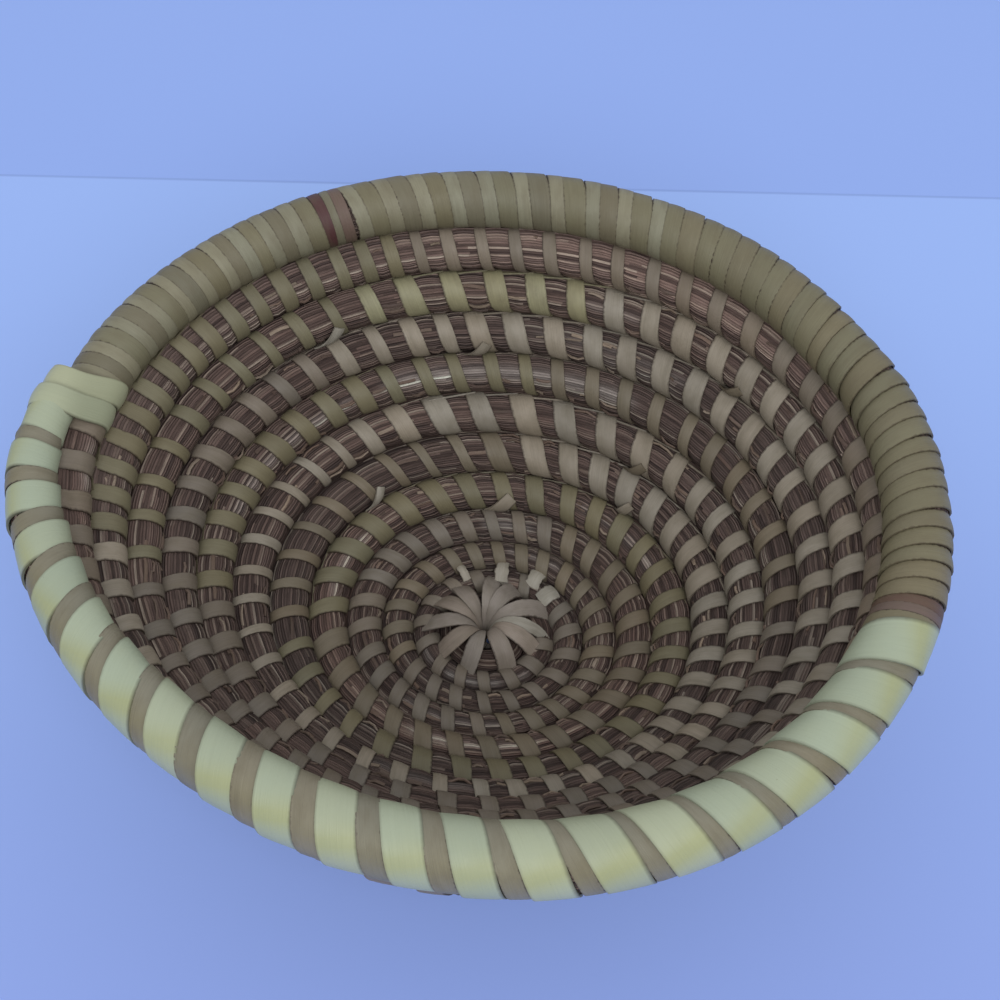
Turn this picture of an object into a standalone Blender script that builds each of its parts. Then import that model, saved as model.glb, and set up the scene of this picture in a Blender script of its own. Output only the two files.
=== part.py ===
"""Coiled sweetgrass basket: one long bundle of grass, wound in a spiral bowl and sewn with strips of leaf.

The bundle starts thin inside the rosette at the middle of the base, grows over a few rounds and climbs the
wall at a steady pitch. Its last round is thicker and is wrapped all over: the rim. Each strip is wound round
the bundle, so its size and place come from the bundle's own line. Seen from above, the spiral runs clockwise
outwards. The origin is on the ground under the middle of the rim, and +Z points up out of the bowl.
"""

import math

import bmesh
import bpy
import numpy as np

# The bundle of grass, in metres and turns
COIL_PITCH = 0.0115
FIRST_PITCH = 0.0070
START_RADIUS = 0.0040
FIRST_TURNS = 1.75
GROWING_TURNS = 4.0
WALL_TURNS = 5.945
RIM_TURNS = 1.0
END_ANGLE = math.radians(184.8)
COIL_POINTS = 24
SIDES = 6

# The bowl: the wall's slope in degrees, at shares of its length from the rosette's edge to the rim
WALL_SLOPE_SHARES = ((0.0, 9), (0.2, 25), (0.39, 46), (0.59, 55), (0.78, 62), (0.97, 84), (1.0, 84))
OVAL_SHARE = 0.06
OVAL_ANGLE = math.radians(-11)
RIM_SHIFT = 0.0013
RIM_TILT = 0.0020

# The strips of leaf
STRIP_THICKNESS = 0.0006
CLEARANCE = 0.0003
ROUND_CLEARANCE = 0.0009
STITCH_WIDTH = 0.0050
INNER_STITCH_WIDTH = 0.0042
STITCH_SPACING = 0.0230
INNER_STITCH_SPACING = 0.0120
STRIP_JOIN = 0.0010
HIDDEN_STEP_SHARE = 0.25

# The rim and its wraps
RIM_BUNDLE_WIDTH = 0.0105
RIM_LIFT_TURNS = 0.035
TAIL_TURNS = 0.055
TAIL_DROP = 0.0025
TAIL_WIDTH_SHARE = 0.4
OLIVE_WIDTH = 0.0114
PALE_WIDTH = 0.0076
TAN_WIDTH = 0.0042
WRAP_GAP = 0.0005
BINDING_WRAPS = 2
BOUND_TURNS = 0.062

# The rosette
PETALS = 12
PETAL_WIDTH = 0.0050
ROSETTE_CLEARANCE = 0.0006

PROFILE_STEPS = 600
GAP_SAMPLES = 4
CORNER_ANGLE = math.pi / SIDES

RIM_TURN = FIRST_TURNS + GROWING_TURNS + WALL_TURNS
END_TURN = RIM_TURN + RIM_TURNS
LAST_TURN = END_TURN + TAIL_TURNS

# Leaf and grass: name, base colour, roughness
GRASS = ("grass", (0.200, 0.120, 0.078), 0.75)
TAN = ("tan", (0.340, 0.270, 0.165), 0.60)
OLIVE = ("olive", (0.330, 0.290, 0.150), 0.60)
GREY = ("grey", (0.400, 0.370, 0.290), 0.65)
CREAM = ("cream", (0.520, 0.480, 0.340), 0.55)
STRAW = ("straw", (0.560, 0.500, 0.270), 0.55)
PALE = ("pale", (0.640, 0.650, 0.400), 0.50)
RED = ("red", (0.200, 0.075, 0.055), 0.60)
BROWN = ("brown", (0.240, 0.140, 0.080), 0.60)

# The sewing strips from the rosette outwards: leaf, and length in turns. The last one runs on to the rim.
SEWING_STRIP_TURNS = (
    (GREY, 0.90), (TAN, 0.80), (GREY, 0.60), (TAN, 0.65), (OLIVE, 1.00), (TAN, 0.30), (CREAM, 0.86),
    (CREAM, 0.50), (GREY, 0.34), (OLIVE, 0.30), (TAN, 0.25), (GREY, 0.60), (CREAM, 0.45), (GREY, 0.40),
    (OLIVE, 0.19), (STRAW, 0.13), (CREAM, 0.68), (OLIVE, 0.35), (TAN, 0.22), (GREY, 0.42),
)

# The rim's close wraps from its start on: name, leaf, and share of a turn. The front wraps follow them.
CLOSE_WRAP_SHARES = (
    ("rim_wrap_left", OLIVE, 0.117),
    ("rim_wrap_mark", RED, 0.020),
    ("rim_wrap_back", OLIVE, 0.160),
    ("rim_wrap_right", TAN, 0.204),
    ("rim_wrap_brown", BROWN, 0.030),
)


def smooth(share):
    """An even ramp from 0 to 1."""
    share = min(max(share, 0.0), 1.0)
    return share * share * (3 - 2 * share)


def strip_seat(run):
    """Room under a strip: the clearance, and the rise of the bundle's bend over a straight run this long."""
    return CLEARANCE + run / 2 * math.sin(math.pi / COIL_POINTS)


RIM_SEAT = strip_seat(OLIVE_WIDTH + (OLIVE_WIDTH + WRAP_GAP) / SIDES)


def grown_turns(turn):
    return min(max(turn - FIRST_TURNS, 0.0), GROWING_TURNS)


def pitch_at(turn):
    return FIRST_PITCH + (COIL_PITCH - FIRST_PITCH) * grown_turns(turn) / GROWING_TURNS


def even_arc_at(turn):
    """Length along the bowl's section from its middle to the bundle's centre, without the rim's lift."""
    steady = max(turn - FIRST_TURNS - GROWING_TURNS, 0.0)
    growth = (COIL_PITCH - FIRST_PITCH) * (grown_turns(turn) ** 2 / (2 * GROWING_TURNS) + steady)
    return START_RADIUS + FIRST_PITCH * turn + growth


def stitch_size(turn):
    """Width and spacing of the stitches at this turn: narrow and close while the bundle grows."""
    if turn < FIRST_TURNS + GROWING_TURNS:
        return INNER_STITCH_WIDTH, INNER_STITCH_SPACING
    return STITCH_WIDTH, STITCH_SPACING


def stitch_seat(turn):
    width, spacing = stitch_size(turn)
    return strip_seat(width + HIDDEN_STEP_SHARE * spacing)


def round_gap(turn):
    """The gap between two rounds: room for a strip on each, also where the oval draws them together."""
    return 2 * (stitch_seat(turn) + STRIP_THICKNESS) + ROUND_CLEARANCE + OVAL_SHARE * COIL_PITCH


def sewn_half_width(turn):
    return (pitch_at(turn) - round_gap(turn)) / 2


# How far the rim stands off the round before it: room for both, also where the oval or the lean squeezes them
LEAN_ROOM = 2 * RIM_TILT * COIL_PITCH / even_arc_at(END_TURN)
RIM_LIFT = (RIM_BUNDLE_WIDTH / 2 + RIM_SEAT + STRIP_THICKNESS + CLEARANCE
            + sewn_half_width(RIM_TURN) + stitch_seat(RIM_TURN) + STRIP_THICKNESS
            + OVAL_SHARE * COIL_PITCH + LEAN_ROOM - COIL_PITCH)


def arc_at(turn):
    """The same length with the rim's lift, and with the drop of the rim's tail."""
    lift = RIM_LIFT * smooth((turn - RIM_TURN) / RIM_LIFT_TURNS)
    drop = TAIL_DROP * smooth((turn - END_TURN) / TAIL_TURNS)
    return even_arc_at(turn) + lift - drop


def half_width(turn):
    """Half of the bundle's width across its flats."""
    sewn = sewn_half_width(turn)
    rim_share = smooth((turn - RIM_TURN - RIM_LIFT_TURNS / 2) / RIM_LIFT_TURNS)
    tail_share = smooth((turn - END_TURN) / TAIL_TURNS)
    full = sewn + (RIM_BUNDLE_WIDTH / 2 - sewn) * rim_share
    return full * (1 - (1 - TAIL_WIDTH_SHARE) * tail_share)


def corner(distance):
    """Distance to a corner of the section whose flats are this far out."""
    return distance / math.cos(CORNER_ANGLE)


def base_height():
    """Height of the first rounds' centre: their stitches clear the ground that the rosette stands on."""
    return CLEARANCE + corner(half_width(FIRST_TURNS) + stitch_seat(FIRST_TURNS) + STRIP_THICKNESS)


def angle_at(turn):
    return END_ANGLE - 2 * math.pi * (turn - END_TURN)


class Bundle:
    """The line that the grass follows: centre, section axes and width at each of its points."""

    def __init__(self):
        count = round(LAST_TURN * COIL_POINTS) + 1
        self.turns = np.linspace(0, LAST_TURN, count)
        self.half_widths = np.array([half_width(turn) for turn in self.turns])
        self.place_centres()
        ahead = np.gradient(self.centres, axis=0)
        ahead /= np.linalg.norm(ahead, axis=1)[:, None]
        outward = np.cross((0, 0, 1), ahead)
        outward /= np.linalg.norm(outward, axis=1)[:, None]
        upward = np.cross(ahead, outward)
        rise = np.sin(self.slopes)[:, None]
        run = np.cos(self.slopes)[:, None]
        self.across = run * outward + rise * upward
        self.inward = run * upward - rise * outward
        steps = np.linalg.norm(np.diff(self.centres, axis=0), axis=1)
        self.lengths = np.append(0, np.cumsum(steps))

    def place_centres(self):
        """Sums the wall's slope into radius and height, then makes the bowl a little oval and askew."""
        arcs = np.array([arc_at(turn) for turn in self.turns])
        edge = arc_at(FIRST_TURNS)
        whole = arc_at(END_TURN)
        steps = np.linspace(0, whole + COIL_PITCH, PROFILE_STEPS)
        shares = (steps - edge) / (whole - edge)
        places, degrees = np.transpose(WALL_SLOPE_SHARES)
        slopes = np.radians(np.where(shares < 0, 0, np.interp(shares, places, degrees)))
        size = steps[1]
        radii = np.append(0, np.cumsum(np.cos(slopes[1:]))) * size
        heights = np.append(0, np.cumsum(np.sin(slopes[1:]))) * size
        self.slopes = np.interp(arcs, steps, slopes)
        angles = np.array([angle_at(turn) for turn in self.turns])
        radius = np.interp(arcs, steps, radii) * (1 + OVAL_SHARE * np.cos(2 * (angles - OVAL_ANGLE)))
        lean = (arcs / whole) ** 2
        height = base_height() + np.interp(arcs, steps, heights) + RIM_TILT * lean * np.sin(angles)
        sideways = radius * np.cos(angles) - RIM_SHIFT * lean
        self.centres = np.column_stack((sideways, radius * np.sin(angles), height))

    def read(self, values, turn):
        """One of the lists above at any turn, straight from point to point as the bundle runs."""
        if values.ndim == 1:
            return float(np.interp(turn, self.turns, values))
        return np.array([np.interp(turn, self.turns, values[:, axis]) for axis in range(3)])

    def point(self, turn, angle, distance):
        """A point of the section at this turn. Angle 0 faces the next round, 90 degrees the bowl's inside."""
        across = math.cos(angle) * self.read(self.across, turn)
        inward = math.sin(angle) * self.read(self.inward, turn)
        return self.read(self.centres, turn) + distance * (across + inward)

    def flat_point(self, turn, angle, seat):
        """The middle of the flat that faces this way, moved out by the seat."""
        return self.point(turn, angle, self.read(self.half_widths, turn) + seat)

    def corner_point(self, turn, number, seat):
        """A corner, moved out by the seat. Corners 0 and 1 lie beside the flat that faces the next round."""
        angle = (2 * number - 1) * CORNER_ANGLE
        return self.point(turn, angle, corner(self.read(self.half_widths, turn) + seat))

    def length_at(self, turn):
        return float(np.interp(turn, self.turns, self.lengths))

    def turn_at(self, length):
        return float(np.interp(length, self.lengths, self.turns))

    def rim_middle(self):
        """The middle of the last round from above. A spiral's rim isn't centred on the spiral's start."""
        rim = self.centres[self.turns > END_TURN - 1, :2]
        return (rim.min(axis=0) + rim.max(axis=0)) / 2

    def least_gap(self):
        """The least gap between a round and the next, on points of their facing flats."""
        gaps = []
        for turn in np.arange(0, LAST_TURN - 1, 1 / (COIL_POINTS * GAP_SAMPLES)):
            face = self.flat_point(turn, 0, 0)
            next_face = self.flat_point(turn + 1, math.pi, 0)
            gaps.append(float(np.linalg.norm(next_face - face)))
        return min(gaps)


def make_material(leaf):
    name, colour, roughness = leaf
    if name in bpy.data.materials:
        return bpy.data.materials[name]
    material = bpy.data.materials.new(name)
    material.use_nodes = True
    shader = material.node_tree.nodes["Principled BSDF"]
    shader.inputs["Base Color"].default_value = (*colour, 1)
    shader.inputs["Roughness"].default_value = roughness
    shader.inputs["Metallic"].default_value = 0
    return material


def add_object(name, data, leaf, collection):
    data.materials.append(make_material(leaf))
    made = bpy.data.objects.new(name, data)
    collection.objects.link(made)
    return made


def add_shell(name, mesh, leaf, collection):
    """Turns an open sheet, whose faces look away from the grass, into a strip of leaf."""
    for face in mesh.faces:
        face.smooth = True
    for edge in mesh.edges:
        edge.smooth = not edge.is_boundary
    data = bpy.data.meshes.new(name)
    mesh.to_mesh(data)
    mesh.free()
    made = add_object(name, data, leaf, collection)
    solidify = made.modifiers.new("leaf", "SOLIDIFY")
    solidify.thickness = STRIP_THICKNESS
    solidify.offset = 1
    solidify.use_even_offset = True
    return made


def add_grass_coil(bundle, collection):
    """The bundle itself: one unbroken six-sided tube from the middle of the base to the rim's tail."""
    widest = corner(float(bundle.half_widths.max()))
    curve = bpy.data.curves.new("grass_coil", "CURVE")
    curve.dimensions = "3D"
    curve.twist_mode = "Z_UP"
    curve.bevel_depth = widest
    curve.bevel_resolution = 1
    curve.use_fill_caps = True
    spline = curve.splines.new("POLY")
    spline.points.add(len(bundle.turns) - 1)
    for point, centre, slope, half in zip(spline.points, bundle.centres, bundle.slopes, bundle.half_widths):
        point.co = (*centre, 1)
        point.tilt = slope + CORNER_ANGLE
        point.radius = corner(half) / widest
    return add_object("grass_coil", curve, GRASS, collection)


def stitch_stops():
    """Where one stitch turns each corner of the bundle: how far on, in spacings, the corner, and turns back.

    It runs nearly straight over the inside and the outside, and steps on where it is hidden between rounds.
    """
    shown = (1 - 2 * HIDDEN_STEP_SHARE) / 4
    steps = (HIDDEN_STEP_SHARE, shown, shown, HIDDEN_STEP_SHARE, shown, shown)
    places = np.append(0, np.cumsum(steps[:-1]))
    return [(place, number, 0) for number, place in enumerate(places)]


def wrap_stops():
    """The same for a wrap of the rim, which steps on evenly."""
    return [(number / SIDES, number, 0) for number in range(SIDES)]


def binding_stops():
    """A wrap round both the rim's tail and the rim's start, which lies one turn back."""
    corners = ((0, 0), (1, 0), (2, 0), (2, 1), (3, 1), (4, 1), (5, 1), (5, 0))
    return [(i / len(corners), number, back) for i, (number, back) in enumerate(corners)]


def add_winding(name, bundle, span, count, width, seat, stops, leaf, collection):
    """A strip wound count times round the bundle, its middle line from one length along it to another."""
    first, last = span
    spacing = (last - first) / count
    mesh = bmesh.new()
    rows = []
    for i in range(count * len(stops) + 1):
        place, number, back = stops[i % len(stops)]
        middle = first + spacing * (i // len(stops) + place)
        ends = [bundle.turn_at(middle + side * width / 2) - back for side in (-1, 1)]
        rows.append([mesh.verts.new(bundle.corner_point(turn, number, seat)) for turn in ends])
    for (near, far), (next_near, next_far) in zip(rows, rows[1:]):
        mesh.faces.new((near, next_near, next_far, far))
    return add_shell(name, mesh, leaf, collection)


def add_sewing(bundle, collection):
    """The strips that sew each round to the one before, end to end along the bundle."""
    start = bundle.length_at(FIRST_TURNS) + STITCH_WIDTH + STRIP_JOIN
    end = bundle.length_at(RIM_TURN)
    turn = FIRST_TURNS
    for number, (leaf, turns) in enumerate(SEWING_STRIP_TURNS, 1):
        width, spacing = stitch_size(turn)
        seat = stitch_seat(turn)
        turn += turns
        last = end if number == len(SEWING_STRIP_TURNS) else bundle.length_at(turn)
        span = (start + width / 2, last - width / 2)
        count = max(1, round((span[1] - span[0]) / spacing))
        name = f"strip_{number:02d}_{leaf[0]}"
        add_winding(name, bundle, span, count, width, seat, stitch_stops(), leaf, collection)
        start = last + STRIP_JOIN


def add_close_wraps(bundle, collection):
    """The strips that cover the rim's back, each wrap against the next. Returns the turn they end at."""
    turn = RIM_TURN + BOUND_TURNS
    for name, leaf, share in CLOSE_WRAP_SHARES:
        low = bundle.length_at(turn)
        turn += share
        high = bundle.length_at(turn)
        count = max(1, round((high - low) / (OLIVE_WIDTH + WRAP_GAP)) - 1)
        pitch = (high - low) / (count + 1)
        span = (low + pitch / 2, high - pitch / 2)
        add_winding(name, bundle, span, count, pitch - WRAP_GAP, RIM_SEAT, wrap_stops(), leaf, collection)
    return turn


def binding_span(bundle):
    """Where the middle line of the binding starts and ends, as lengths along the bundle's tail."""
    high = bundle.length_at(LAST_TURN) - PALE_WIDTH / 2 - WRAP_GAP
    return high - BINDING_WRAPS * (PALE_WIDTH + WRAP_GAP), high


def add_front_wraps(bundle, turn, collection):
    """The two strips of the rim's front, wound together, a wide pale one and a narrow tan one."""
    pair = PALE_WIDTH + TAN_WIDTH + 2 * WRAP_GAP
    low = bundle.length_at(turn) + PALE_WIDTH
    high = binding_span(bundle)[0] - pair - PALE_WIDTH
    count = round((high - low) / pair)
    for name, leaf, width in (("rim_wrap_pale", PALE, PALE_WIDTH), ("rim_wrap_tan", TAN, TAN_WIDTH)):
        span = (low, low + count * pair)
        add_winding(name, bundle, span, count, width, RIM_SEAT, wrap_stops(), leaf, collection)
        low += pair / 2


def add_binding(bundle, collection):
    """The pale wraps that hold the rim's tail down on the rim's start."""
    span = binding_span(bundle)
    seat = strip_seat(PALE_WIDTH)
    stops = binding_stops()
    add_winding("rim_binding", bundle, span, BINDING_WRAPS, PALE_WIDTH, seat, stops, PALE, collection)


def edge_turn(angle):
    """The last turn inside the rosette that passes this angle."""
    turn = END_TURN + (END_ANGLE - angle) / (2 * math.pi)
    return FIRST_TURNS - (FIRST_TURNS - turn) % 1


def add_rosette(bundle, collection):
    """The strip wound through the middle over the first rounds: petals, joined round the centre hole."""
    levels = (2 * base_height() - STRIP_THICKNESS, STRIP_THICKNESS)
    hub = START_RADIUS - half_width(0) - ROSETTE_CLEARANCE
    mesh = bmesh.new()
    rings = []
    for height in levels:
        angles = [(i - 0.5) * 2 * math.pi / PETALS for i in range(PETALS)]
        rings.append([mesh.verts.new((hub * math.cos(a), hub * math.sin(a), height)) for a in angles])
    for i in range(PETALS):
        middle = i * 2 * math.pi / PETALS
        turn = edge_turn(middle)
        radius = float(np.linalg.norm(bundle.flat_point(turn, 0, ROSETTE_CLEARANCE)[:2]))
        half = math.asin(PETAL_WIDTH / 2 / radius)
        sides = []
        for side in (-half, half):
            wall = bundle.flat_point(turn - side / (2 * math.pi), 0, ROSETTE_CLEARANCE)
            sides.append([mesh.verts.new((wall[0], wall[1], height)) for height in levels])
        top, bottom = [(ring[i], ring[(i + 1) % PETALS]) for ring in rings]
        (left_top, left_low), (right_top, right_low) = sides
        mesh.faces.new((top[0], left_top, right_top, top[1]))
        mesh.faces.new((left_top, left_low, right_low, right_top))
        mesh.faces.new((left_low, bottom[0], bottom[1], right_low))
        mesh.faces.new((bottom[0], top[0], top[1], bottom[1]))
    made = add_shell("centre_rosette", mesh, CREAM, collection)
    made.modifiers["leaf"].solidify_mode = "NON_MANIFOLD"
    made.modifiers["leaf"].nonmanifold_thickness_mode = "CONSTRAINTS"


def main():
    for found in list(bpy.data.objects):
        bpy.data.objects.remove(found)
    collection = bpy.data.collections.new("coiled_sweetgrass_basket")
    bpy.context.scene.collection.children.link(collection)
    bundle = Bundle()
    print(f"least gap of the coil to itself: {1000 * bundle.least_gap():.2f} mm")
    add_grass_coil(bundle, collection)
    add_rosette(bundle, collection)
    add_sewing(bundle, collection)
    turn = add_close_wraps(bundle, collection)
    add_front_wraps(bundle, turn, collection)
    add_binding(bundle, collection)
    middle = bundle.rim_middle()
    for made in collection.objects:
        made.location = (-middle[0], -middle[1], 0)


main()
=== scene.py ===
"""The coiled sweetgrass basket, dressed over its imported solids.

Grass, stitches, petals and rim wraps are all wound on the line that the solids follow. A place on the basket
is a turn of that line, an angle round the bundle and a distance from its centre. Angle 0 faces the next
round, 90 degrees the inside of the bowl, 180 the round before and 270 the outside. Lengths are in metres
where no comment says millimetres.
"""
import math

import bpy
import numpy as np
from mathutils import Matrix, Vector


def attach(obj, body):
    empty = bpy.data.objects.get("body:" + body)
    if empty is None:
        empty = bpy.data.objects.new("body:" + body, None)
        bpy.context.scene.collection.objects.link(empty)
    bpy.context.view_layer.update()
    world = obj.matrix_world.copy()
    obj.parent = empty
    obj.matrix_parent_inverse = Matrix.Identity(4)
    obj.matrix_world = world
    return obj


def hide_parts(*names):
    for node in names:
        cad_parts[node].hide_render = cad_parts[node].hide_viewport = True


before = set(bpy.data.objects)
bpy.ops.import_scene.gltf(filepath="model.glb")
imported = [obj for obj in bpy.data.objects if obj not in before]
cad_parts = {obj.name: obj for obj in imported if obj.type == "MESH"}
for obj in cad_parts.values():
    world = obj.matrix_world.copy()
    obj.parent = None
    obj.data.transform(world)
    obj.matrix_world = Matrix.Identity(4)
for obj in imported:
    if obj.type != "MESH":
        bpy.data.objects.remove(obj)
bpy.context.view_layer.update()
rng = np.random.default_rng(11)
MM = 0.001

# The line of the coil, as in the solids.
COIL_PITCH = 0.0115
FIRST_PITCH = 0.0070
START_RADIUS = 0.0040
FIRST_TURNS = 1.75
GROWING_TURNS = 4.0
RIM_TURN = 11.695
END_TURN = 12.695
LAST_TURN = 12.750
END_ANGLE = math.radians(184.8)
SLOPE_SHARES = ((0.0, 9), (0.2, 25), (0.39, 46), (0.59, 55), (0.78, 62), (0.97, 84), (1.0, 84))
OVAL_SHARE = 0.06
OVAL_ANGLE = math.radians(-11)
RIM_SHIFT = 0.0013
RIM_TILT = 0.0020
RIM_LIFT = 0.001814
RIM_LIFT_TURNS = 0.035
TAIL_DROP = 0.0025
TAIL_TURNS = 0.055
BASE_HEIGHT = 0.003423
MIDDLE = np.array((0.001558, 0.000375, 0.0))
POINTS_PER_TURN = 120
SECTION_STEPS = 1200

# A strip's thickness and its seat on the grass, and how deep the grass lies between two stems.
LEAF = 0.00042
SEAT = 0.00005
GRASS_RELIEF = 0.00022

# Ridges of grass round the bundle, and how many stems the material shows on each.
STRANDS = 24
FINE_STRANDS = 2.25

# The most room that a round may fill, and what the rounds gain where they stop growing: how much, between
# which turns, and over how many turns it sets in.
WIDEST_SPACING = 0.0122
FILL = 0.0002
FILL_FIRST, FILL_LAST, FILL_EDGE = 4.2, 6.2, 0.3

# Radius of the rim's grass in millimetres at some turns.
RIM_RADII = ((11.70, 6.4), (12.05, 6.4), (12.25, 6.8), (12.50, 6.8), (12.60, 6.2), (12.70, 5.0), (12.735, 4.0),
             (12.7475, 3.2), (12.75, 0.2))

# How far the last rounds sway towards the inside of the bowl: turns and millimetres.
RIM_SWAY = (
    (11.44, 0.0), (11.46, -1.3), (11.49, -1.2), (11.54, 0.9), (11.57, 1.4), (11.62, 0.2), (11.65, 0.0),
    (11.70, -1.4), (11.77, -2.3), (11.83, -1.2), (11.95, -0.9), (12.00, -1.4), (12.09, -0.1), (12.14, 1.3),
    (12.17, -0.1), (12.23, 0.2), (12.27, 0.0), (12.29, 0.9), (12.33, 0.0), (12.38, -1.2), (12.44, -1.2),
    (12.50, 0.2), (12.56, 2.1), (12.59, 2.3), (12.63, 1.1), (12.67, -0.4), (12.71, -3.6), (12.75, -2.6),
)

# How far the round under the rim reaches up to the rim's wraps: turns and millimetres.
RIM_REACH = (
    (10.695, 0.0), (10.712, 1.0), (10.725, 1.8), (10.7375, 1.8), (10.76, 1.3), (10.80, 0.9), (11.58, 0.8),
    (11.62, 1.3), (11.65, 1.7), (11.68, 2.3), (11.705, 2.3), (11.715, 1.6), (11.725, 0.6), (11.735, 0.0),
)

# How the bundle is sewn at some turns: millimetres from one strip to the next, the strip's width, and how far
# it runs along the bundle while it crosses the inside of the bowl.
SEWN = np.array((
    (1.25, 6.6, 3.6, 1.6), (1.75, 6.6, 3.4, 2.4), (3.20, 6.8, 3.3, 3.6), (4.20, 8.2, 3.9, 4.4),
    (4.70, 9.8, 4.8, 6.0), (4.84, 9.4, 4.8, 4.2), (4.90, 9.6, 5.0, 6.5), (5.05, 9.3, 4.8, 4.4),
    (5.25, 7.6, 3.7, 3.6), (5.50, 9.8, 5.0, 4.0), (5.72, 9.0, 2.8, 3.8), (5.93, 10.6, 2.8, 7.0),
    (5.98, 10.8, 5.8, 7.4), (6.10, 9.0, 5.3, 5.0), (6.30, 7.4, 4.1, 3.6), (6.50, 10.0, 4.1, 3.0),
    (6.69, 8.6, 2.4, 3.0), (6.84, 9.4, 2.8, 4.2), (6.92, 12.0, 6.2, 6.0), (7.06, 11.6, 6.4, 6.6),
    (7.14, 8.6, 4.3, 4.0), (7.35, 8.2, 4.0, 3.6), (7.50, 11.2, 4.6, 2.6), (7.69, 8.6, 4.5, 2.6),
    (7.86, 9.0, 4.5, 4.0), (7.92, 9.4, 3.4, 4.4), (8.08, 9.8, 3.8, 4.8), (8.30, 9.4, 4.1, 4.0),
    (8.66, 9.6, 4.0, 3.6), (8.93, 9.8, 4.0, 4.4), (8.96, 10.2, 5.8, 5.6), (9.10, 9.6, 5.3, 4.4),
    (9.20, 9.8, 4.3, 4.0), (9.60, 9.8, 4.5, 3.2), (9.70, 10.6, 3.4, 2.8), (9.88, 9.8, 3.3, 3.4),
    (9.92, 11.0, 5.3, 4.6), (10.1, 10.4, 5.5, 4.4), (10.4, 10.4, 4.8, 3.6), (10.68, 10.0, 4.8, 2.6),
    (10.7, 7.4, 4.5, 1.0), (10.84, 7.4, 4.1, 1.2), (10.91, 7.8, 3.4, 2.4), (10.95, 8.8, 3.4, 3.6),
    (11.05, 9.8, 3.6, 4.4), (11.1, 11.0, 4.5, 4.4), (11.2, 11.2, 5.5, 3.8), (11.7, 9.8, 5.2, 3.0),
))
SPACING_COLUMN, WIDTH_COLUMN, SHIFT_COLUMN = 1, 2, 3
SPACING_UNEVEN = 0.09
SEWN_END = RIM_TURN + 0.050


def ramp(value):
    value = np.clip(value, 0, 1)
    return value * value * (3 - 2 * value)


def unit(vectors):
    return vectors / np.linalg.norm(vectors, axis=-1, keepdims=True)


def at(value, turn):
    """A number, or a table of turns and numbers read at these turns."""
    return value if np.isscalar(value) else np.interp(turn, *np.transpose(value))


def grown(turn):
    return np.clip(turn - FIRST_TURNS, 0, GROWING_TURNS)


def arc_at(turn):
    """Length along the bowl's section from its middle to the bundle's centre."""
    steady = np.maximum(turn - FIRST_TURNS - GROWING_TURNS, 0)
    growth = (COIL_PITCH - FIRST_PITCH) * (grown(turn) ** 2 / (2 * GROWING_TURNS) + steady)
    lift = RIM_LIFT * ramp((turn - RIM_TURN) / RIM_LIFT_TURNS)
    drop = TAIL_DROP * ramp((turn - END_TURN) / TAIL_TURNS)
    return START_RADIUS + FIRST_PITCH * turn + growth + lift - drop


def angle_at(turn):
    return END_ANGLE - 2 * math.pi * (turn - END_TURN)


def grass_radius(turn):
    """Radius of the grass bundle under its strips: full between its neighbours, thick at the rim."""
    even = np.interp(turn, TURNS, SPACING) / 2 - LEAF - SEAT
    rim = ramp((turn - RIM_TURN - 0.030) / 0.035)
    return even + (at(RIM_RADII, turn) * MM - even) * rim


TURNS = np.linspace(0, LAST_TURN, round(LAST_TURN * POINTS_PER_TURN) + 1)


def trace_line():
    """Centres of the coil and the two axes of its section at every one of TURNS."""
    steps = np.linspace(0, arc_at(END_TURN) + COIL_PITCH, SECTION_STEPS)
    edge = arc_at(FIRST_TURNS)
    shares = (steps - edge) / (arc_at(END_TURN) - edge)
    slopes = np.radians(np.where(shares < 0, 0, at(SLOPE_SHARES, shares)))
    radii = np.append(0, np.cumsum(np.cos(slopes[1:]))) * steps[1]
    heights = np.append(0, np.cumsum(np.sin(slopes[1:]))) * steps[1]
    arcs = arc_at(TURNS)
    angles = angle_at(TURNS)
    radius = np.interp(arcs, steps, radii) * (1 + OVAL_SHARE * np.cos(2 * (angles - OVAL_ANGLE)))
    lean = (arcs / arc_at(END_TURN)) ** 2
    height = BASE_HEIGHT + np.interp(arcs, steps, heights) + RIM_TILT * lean * np.sin(angles)
    sideways = radius * np.cos(angles) - RIM_SHIFT * lean
    centres = np.column_stack((sideways, radius * np.sin(angles), height)) + MIDDLE
    slope = np.interp(arcs, steps, slopes)[:, None]
    ahead = unit(np.gradient(centres, axis=0))
    outward = unit(np.cross((0, 0, 1), ahead))
    upward = np.cross(ahead, outward)
    across = np.cos(slope) * outward + np.sin(slope) * upward
    inward = np.cos(slope) * upward - np.sin(slope) * outward
    return centres + inward * trace_sway()[:, None], across, inward


def trace_sway():
    """The rim's sway at every one of TURNS, each the mean of three so that it has no corners."""
    sway = np.convolve(at(RIM_SWAY, TURNS), np.full(3, 1 / 3), "same") * MM
    sway[-2:] = sway[-3]
    return sway


def trace_spacing():
    """Mean distance to the rounds before and after, a little more where the rounds stop growing.

    Only the round before counts for the one under the rim.
    """
    gap = np.linalg.norm(CENTRES[POINTS_PER_TURN:] - CENTRES[:-POINTS_PER_TURN], axis=1)
    before = np.append(np.full(POINTS_PER_TURN, gap[0]), gap)
    after = np.append(gap, np.full(POINTS_PER_TURN, gap[-1]))
    fill = FILL * ramp((TURNS - FILL_FIRST) / FILL_EDGE) * ramp((FILL_LAST - TURNS) / FILL_EDGE)
    return np.minimum(np.where(TURNS < RIM_TURN - 1, (before + after) / 2, before), WIDEST_SPACING) + fill


CENTRES, ACROSS, INWARD = trace_line()
SPACING = trace_spacing()
LENGTHS = np.append(0, np.cumsum(np.linalg.norm(np.diff(CENTRES, axis=0), axis=1)))


def length_at(turn):
    return np.interp(turn, TURNS, LENGTHS)


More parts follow.
